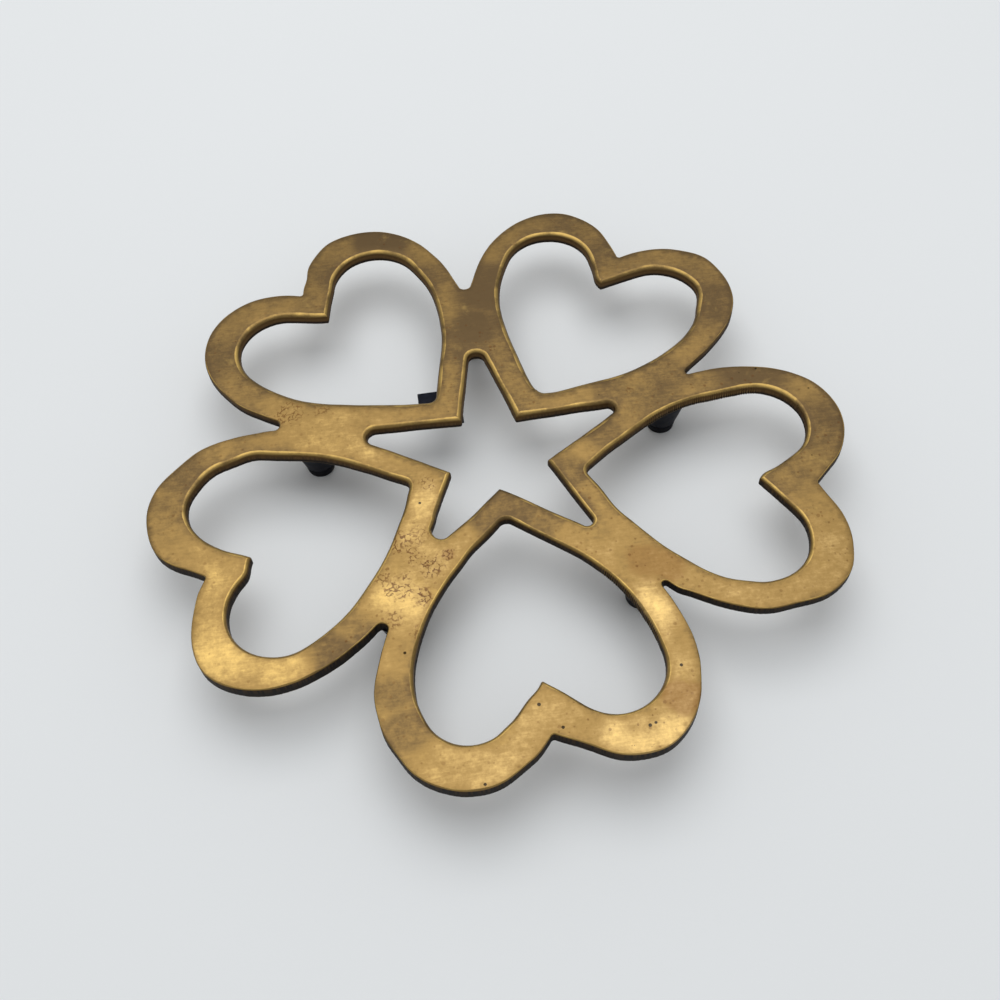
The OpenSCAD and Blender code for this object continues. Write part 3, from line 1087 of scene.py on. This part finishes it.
def brass_material(context):
    colours = context.scene.trivet_finish
    material, tree, shader = new_material("aged_cast_brass")
    here = mapped(tree)
    wall, filed, rim = (attribute(tree, name) for name in PLATE_LAYERS)
    place = tree.nodes.new("ShaderNodeSeparateXYZ")
    join(tree, here, place.inputs[0])
    broad = noise_node(tree, here, BROAD, 3.0, 0.55)
    cloud = noise_node(tree, here, CLOUD, 5.0, 0.62, 0.3)
    fine = noise_node(tree, here, FINE, 4.0, 0.68)
    blotches = broad, cloud, fine

    age_and_painted_light, back = patina(tree, here, place, rim, blotches)
    colour = blend_colour(tree, ramp(tree, age_and_painted_light, -0.05, 0.55), colours.bright, colours.worn)
    colour = blend_colour(tree, ramp(tree, age_and_painted_light, 0.5, 1.0), colour, colours.olive)
    stains, crazed, reds, pits = blemishes(tree, here, blotches)
    colour = blend_colour(tree, times(tree, crazed, 0.3), colour, colours.worn)
    colour = blend_colour(tree, times(tree, stains, 0.6), colour, colours.stain)
    colour = blend_colour(tree, times(tree, reds, 0.85), colour, colours.stain)
    colour = blend_colour(tree, times(tree, pits, 0.9), colour, colours.oxide)

    # Where the top turns over: a bright line, partly rub wear and partly painted highlight, then a
    # brown band, partly bronze patina and partly painted shade as the edge turns down, then the
    # dark filed wall
    turned = math_node(tree, "ADD", wall, centred(tree, cloud, 0.12))
    line = times(tree, ramp(tree, turned, 0.02, 0.12), ramp(tree, turned, 0.4, 0.66, 1.0, 0.0))
    patchy = total(tree, cloud, centred(tree, broad, 0.25))
    line = times(tree, line, ramp(tree, patchy, 0.35, 0.68, 0.08, 0.7))
    brown = ramp(tree, turned, 0.5, 0.82)
    dark = ramp(tree, turned, 0.7, 0.94)
    colour = blend_colour(tree, line, colour, colours.bright)
    colour = blend_colour(tree, brown, colour, colours.bronze)
    walls = wall_finish(tree, colours, wall, filed, back, blotches)
    colour = blend_colour(tree, dark, colour, walls)
    join(tree, colour, shader.inputs["Base Color"])
    join(tree, ramp(tree, dark, 0.0, 1.0, 1.0, 0.0), shader.inputs["Metallic"])
    rough = total(tree, 0.25, times(tree, age_and_painted_light, 0.16), times(tree, dark, 0.3),
                  times(tree, brown, 0.06), times(tree, reds, 0.2), centred(tree, fine, 0.05))
    join(tree, rough, shader.inputs["Roughness"])
    shader.inputs["Specular IOR Level"].default_value = 0.12
    # Rubbed brass keeps a soft sheen, most of all towards the front right
    sheen = times(tree, ramp(tree, age_and_painted_light, 0.15, 0.6, 0.8, 0.0), ramp(tree, dark, 0.0, 0.3, 1.0, 0.0))
    sheen = times(tree, sheen, ramp(tree, place.outputs["X"], *SHEEN_GROWS, 0.3, 1.0))
    join(tree, sheen, shader.inputs["Coat Weight"])
    shader.inputs["Coat Roughness"].default_value = 0.3

    # Cast dents, grain, pits and cracks
    soft = noise_node(tree, here, DENT_SIZE, 2.0)
    grain = place_group(tree, grain_group(), vector=here, size=GRAIN_SIZE).outputs["Height"]
    hollow = larger(tree, pits, times(tree, reds, 0.6))
    normal = bump(tree, soft, DENT_DEPTH)
    normal = bump(tree, grain, GRAIN_DEPTH, normal)
    normal = bump(tree, math_node(tree, "SUBTRACT", 1.0, hollow), PIT_DEPTH, normal)
    join(tree, normal, shader.inputs["Normal"])
    return material


def plain_material(name, colour, roughness, grain_size, grain_depth):
    """A dark moulded or painted finish with fine grain and faint wear."""
    material, tree, shader = new_material(name)
    here = mapped(tree)
    cloud = noise_node(tree, here, 3 * MM, 4.0)
    paler = tuple(min(1, c * 2 + 0.002) for c in colour)
    join(tree, blend_colour(tree, ramp(tree, cloud, 0.45, 0.75), colour, paler),
         shader.inputs["Base Color"])
    join(tree, ramp(tree, cloud, 0.3, 0.7, roughness - 0.06, roughness + 0.08),
         shader.inputs["Roughness"])
    shader.inputs["Specular IOR Level"].default_value = 0.08
    grain = place_group(tree, grain_group(), vector=here, size=grain_size).outputs["Height"]
    join(tree, bump(tree, grain, grain_depth), shader.inputs["Normal"])
    return material


def foot_material(context):
    return plain_material(
        "black_foot_paint", context.scene.trivet_finish.foot, 0.5, 0.5 * MM, 0.02 * MM)


def rubber_material(context):
    return plain_material(
        "tip_rubber", context.scene.trivet_finish.rubber, 0.6, 0.35 * MM, 0.015 * MM)


def plaque_material(context):
    return plain_material(
        "plaque_film", context.scene.trivet_finish.plaque, 0.5, 0.6 * MM, 0.01 * MM)


def floor_material(context):
    stage = context.scene.trivet_stage
    material, tree, shader = new_material("pale_paper")
    here = mapped(tree)
    cloud = noise_node(tree, here, 0.25, 2.0)
    darker = tuple(c * 0.97 for c in stage.floor_colour)
    join(tree, blend_colour(tree, cloud, stage.floor_colour, darker), shader.inputs["Base Color"])
    shader.inputs["Roughness"].default_value = 0.9
    grain = place_group(tree, grain_group(), vector=here, size=0.8 * MM).outputs["Height"]
    join(tree, bump(tree, grain, 0.01 * MM), shader.inputs["Normal"])
    return material


class TRIVET_OT_stage(bpy.types.Operator):
    """Lays the pale floor and sets the lamp and the camera"""

    bl_idname = "trivet.stage"
    bl_label = "Stage"

    def execute(self, context):
        cfg = context.scene.trivet_stage
        deselect_all()
        bpy.ops.mesh.primitive_plane_add(size=cfg.floor_size, location=(0, 0, 0))
        floor = context.object
        floor.name = "floor"
        floor.data.materials.append(floor_material(context))
        self.add_lamp(cfg)
        world = bpy.data.worlds.new("studio_air")
        world.use_nodes = True
        world.node_tree.nodes["Background"].inputs["Color"].default_value = (*cfg.air_colour, 1)
        world.node_tree.nodes["Background"].inputs["Strength"].default_value = cfg.air
        context.scene.world = world
        context.scene.view_settings.view_transform = "Standard"
        self.add_camera(context, cfg)
        return {"FINISHED"}

    def add_lamp(self, cfg):
        """Hangs one large soft lamp over the trivet and turns it to the middle."""
        deselect_all()
        bpy.ops.object.light_add(type="AREA", location=cfg.lamp_place)
        lamp = bpy.context.object
        lamp.rotation_euler = Vector(cfg.lamp_place).to_track_quat("Z", "Y").to_euler()
        lamp.name = "overhead"
        lamp.data.shape = "SQUARE"
        lamp.data.size = cfg.lamp_size
        lamp.data.energy = cfg.lamp_power

    def add_camera(self, context, cfg):
        """Stands the camera on a sphere around the aim, then rolls it about its line of sight."""
        aim = Vector(cfg.aim)
        out = Vector((-math.sin(cfg.camera_turn) * math.cos(cfg.camera_rise),
                      -math.cos(cfg.camera_turn) * math.cos(cfg.camera_rise),
                      math.sin(cfg.camera_rise)))
        bpy.ops.object.camera_add(location=aim + out * cfg.camera_distance)
        camera = context.object
        camera.name = "photo_camera"
        camera.rotation_mode = "QUATERNION"
        look = (-out).to_track_quat("-Z", "Y")
        camera.rotation_quaternion = look @ Quaternion((0, 0, 1), cfg.camera_roll)
        camera.data.sensor_width = 36.0
        camera.data.lens = cfg.focal_share * camera.data.sensor_width
        camera.data.clip_start = 0.01
        context.scene.camera = camera


class TRIVET_PT_panel(bpy.types.Panel):
    """Lists the trivet's pieces"""

    bl_idname = "TRIVET_PT_panel"
    bl_label = "Trivet"
    bl_space_type = "VIEW_3D"
    bl_region_type = "UI"
    bl_category = "Trivet"

    def draw(self, context):
        for operator in OPERATORS:
            self.layout.operator(operator.bl_idname)


SETTINGS = {
    "trivet_plate": TrivetPlateSettings,
    "trivet_feet": TrivetFeetSettings,
    "trivet_finish": TrivetFinishSettings,
    "trivet_stage": TrivetStageSettings,
}
OPERATORS = (TRIVET_OT_plate, TRIVET_OT_feet, TRIVET_OT_tips, TRIVET_OT_plaque, TRIVET_OT_stage)


def register():
    for cls in (*SETTINGS.values(), *OPERATORS, TRIVET_PT_panel):
        bpy.utils.register_class(cls)
    for name, cls in SETTINGS.items():
        setattr(bpy.types.Scene, name, bpy.props.PointerProperty(type=cls))


def unregister():
    for name in SETTINGS:
        delattr(bpy.types.Scene, name)
    for cls in reversed((*SETTINGS.values(), *OPERATORS, TRIVET_PT_panel)):
        bpy.utils.unregister_class(cls)


def main():
    register()
    bpy.ops.trivet.plate()
    bpy.ops.trivet.feet()
    bpy.ops.trivet.tips()
    bpy.ops.trivet.plaque()
    bpy.ops.trivet.stage()
    deselect_all()


if __name__ == "__main__":
    main()
